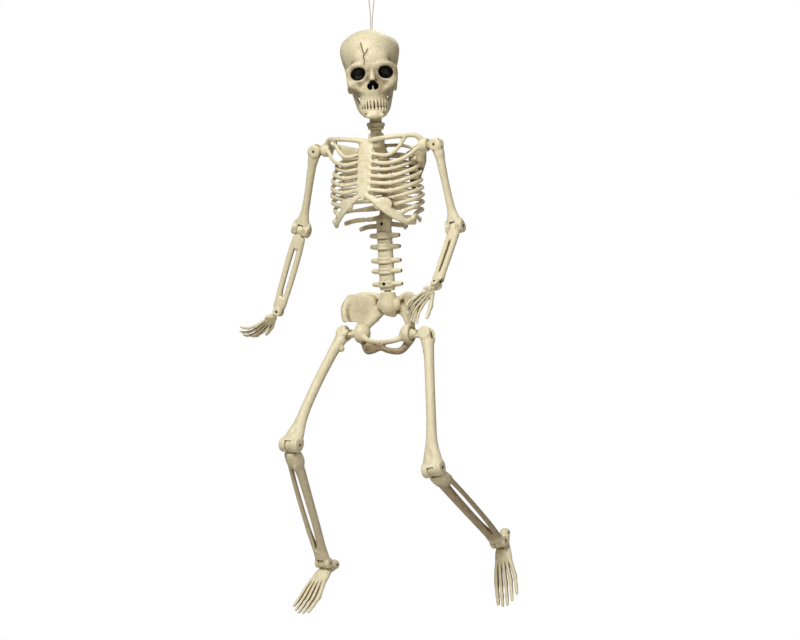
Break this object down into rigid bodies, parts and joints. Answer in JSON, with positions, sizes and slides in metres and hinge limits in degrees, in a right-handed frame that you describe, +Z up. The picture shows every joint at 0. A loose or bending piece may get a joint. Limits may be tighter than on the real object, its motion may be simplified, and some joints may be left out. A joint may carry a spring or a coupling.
{
  "type": "hanging skeleton figure",
  "caption": "Posable full-figure plastic skeleton that hangs by a string loop from the crown, with pinned shoulders, elbows, wrists, hips, knees, ankles, waist, neck and jaw.",
  "frame": {"origin": "inside of the top of the hanging loop", "axes": "+Z up along the hanging figure, -Y towards the viewer of its front, +X towards the figure's left"},
  "size_m": [0.4267, 0.3527, 0.951],
  "materials": {
    "bone_plastic": "ivory moulded plastic with a brown wash in the recesses, semi-gloss",
    "screw_steel": "plain zinc-plated",
    "string": "twisted cotton"
  },
  "bodies": {
    "head": {"skull_face": "bone_plastic", "skull_back": "bone_plastic", "jaw_screw_right": "screw_steel", "jaw_screw_left": "screw_steel", "cord_loop": "string", "cord_knot": "string"},
    "jaw": {"lower_jaw": "bone_plastic"},
    "neck": {"neck_column": "bone_plastic"},
    "torso": {"rib_cage_front": "bone_plastic", "rib_cage_back": "bone_plastic", "lumbar_spine": "bone_plastic", "spine_screw": "screw_steel", "waist_peg": "bone_plastic", "waist_screw": "screw_steel", "neck_screw": "screw_steel"},
    "pelvis": {"pelvis": "bone_plastic"},
    "shoulder_right": {"shoulder_hub_right": "bone_plastic"},
    "upper_arm_right": {"upper_arm_right": "bone_plastic", "shoulder_screw_right": "screw_steel", "elbow_screw_right": "screw_steel"},
    "forearm_right": {"forearm_right": "bone_plastic", "wrist_screw_right": "screw_steel"},
    "hand_right": {"hand_right": "bone_plastic"},
    "hip_right": {"hip_hub_right": "bone_plastic"},
    "thigh_right": {"thigh_right": "bone_plastic", "hip_screw_right": "screw_steel", "knee_screw_right": "screw_steel"},
    "shin_right": {"shin_right": "bone_plastic", "ankle_screw_right": "screw_steel"},
    "foot_right": {"foot_right": "bone_plastic"},
    "shoulder_left": {"shoulder_hub_left": "bone_plastic"},
    "upper_arm_left": {"upper_arm_left": "bone_plastic", "shoulder_screw_left": "screw_steel", "elbow_screw_left": "screw_steel"},
    "forearm_left": {"forearm_left": "bone_plastic", "wrist_screw_left": "screw_steel"},
    "hand_left": {"hand_left": "bone_plastic"},
    "hip_left": {"hip_hub_left": "bone_plastic"},
    "thigh_left": {"thigh_left": "bone_plastic", "hip_screw_left": "screw_steel", "knee_screw_left": "screw_steel"},
    "shin_left": {"shin_left": "bone_plastic", "ankle_screw_left": "screw_steel"},
    "foot_left": {"foot_left": "bone_plastic"}
  },
  "joints": [
    {"name": "jaw_open", "type": "hinge", "parent": "head", "child": "jaw", "pos_m": [0.00138, 0.00412, -0.14774], "axis": [0.9968, 0.0174, 0.0785], "range_deg": [0, 18]},
    {"name": "head_turn", "type": "hinge", "parent": "head", "child": "neck", "pos_m": [0.00473, 0.01331, -0.14605], "axis": [-0.0308, 0.0164, 0.9994], "range_deg": [-70, 70]},
    {"name": "head_nod", "type": "hinge", "parent": "neck", "child": "torso", "pos_m": [0.0072, 0.012, -0.226], "axis": [0.8824, -0.4692, 0.0349], "range_deg": [-25, 25]},
    {"name": "waist_turn", "type": "hinge", "parent": "torso", "child": "pelvis", "pos_m": [0.02474, 0.02759, -0.45986], "axis": [-0.0308, 0.0164, 0.9994], "range_deg": [-30, 30]},
    {"name": "shoulder_swing_right", "type": "hinge", "parent": "torso", "child": "shoulder_right", "pos_m": [-0.06963, 0.04945, -0.24399], "axis": [0.8824, -0.4692, 0.0349], "range_deg": [-150, 50]},
    {"name": "shoulder_raise_right", "type": "hinge", "parent": "shoulder_right", "child": "upper_arm_right", "pos_m": [-0.08552, 0.0579, -0.24462], "axis": [0.4505, 0.864, 0.2248], "range_deg": [-20, 110]},
    {"name": "elbow_right", "type": "hinge", "parent": "upper_arm_right", "child": "forearm_right", "pos_m": [-0.10818, 0.10107, -0.36513], "axis": [0.8756, -0.3784, -0.3003], "range_deg": [-97, 13]},
    {"name": "wrist_right", "type": "hinge", "parent": "forearm_right", "child": "hand_right", "pos_m": [-0.14398, 0.11814, -0.49103], "axis": [0.3997, 0.9166, 0.0105], "range_deg": [-103, 42]},
    {"name": "shoulder_swing_left", "type": "hinge", "parent": "torso", "child": "shoulder_left", "pos_m": [0.08214, -0.03124, -0.23799], "axis": [0.8824, -0.4692, 0.0349], "range_deg": [-150, 50]},
    {"name": "shoulder_raise_left", "type": "hinge", "parent": "shoulder_left", "child": "upper_arm_left", "pos_m": [0.09802, -0.03969, -0.23736], "axis": [0.4672, 0.8826, 0.0523], "range_deg": [-113, 11]},
    {"name": "elbow_left", "type": "hinge", "parent": "upper_arm_left", "child": "forearm_left", "pos_m": [0.12698, -0.04752, -0.36385], "axis": [0.8556, -0.4663, 0.2247], "range_deg": [-59, 51]},
    {"name": "wrist_left", "type": "hinge", "parent": "forearm_left", "child": "hand_left", "pos_m": [0.09755, -0.14306, -0.45005], "axis": [0.4671, 0.5086, -0.7233], "range_deg": [-102, 38]},
    {"name": "hip_swing_right", "type": "hinge", "parent": "pelvis", "child": "hip_right", "pos_m": [-0.01538, 0.04236, -0.52436], "axis": [0.8572, -0.515, 0], "range_deg": [-51, 79]},
    {"name": "hip_spread_right", "type": "hinge", "parent": "hip_right", "child": "thigh_right", "pos_m": [-0.04195, 0.05833, -0.52436], "axis": [0.4003, 0.6661, -0.6293], "range_deg": [-8, 47]},
    {"name": "knee_right", "type": "hinge", "parent": "thigh_right", "child": "shin_right", "pos_m": [-0.12156, -0.0522, -0.69199], "axis": [0.839, -0.5426, -0.0407], "range_deg": [-68, 42]},
    {"name": "ankle_right", "type": "hinge", "parent": "shin_right", "child": "foot_right", "pos_m": [-0.07308, 0.03639, -0.87383], "axis": [0.839, -0.5426, -0.0407], "range_deg": [-27, 38]},
    {"name": "hip_swing_left", "type": "hinge", "parent": "pelvis", "child": "hip_left", "pos_m": [0.05662, -0.0009, -0.52436], "axis": [0.8572, -0.515, 0], "range_deg": [-75, 55]},
    {"name": "hip_spread_left", "type": "hinge", "parent": "hip_left", "child": "thigh_left", "pos_m": [0.08319, -0.01686, -0.52436], "axis": [0.4975, 0.828, -0.2588], "range_deg": [-38, 17]},
    {"name": "knee_left", "type": "hinge", "parent": "thigh_left", "child": "shin_left", "pos_m": [0.09352, -0.08687, -0.72844], "axis": [0.8662, -0.4577, 0.2008], "range_deg": [-71, 39]},
    {"name": "ankle_left", "type": "hinge", "parent": "shin_left", "child": "foot_left", "pos_m": [0.1946, 0.05402, -0.84332], "axis": [0.8662, -0.4577, 0.2008], "range_deg": [-35, 30]}
  ]
}
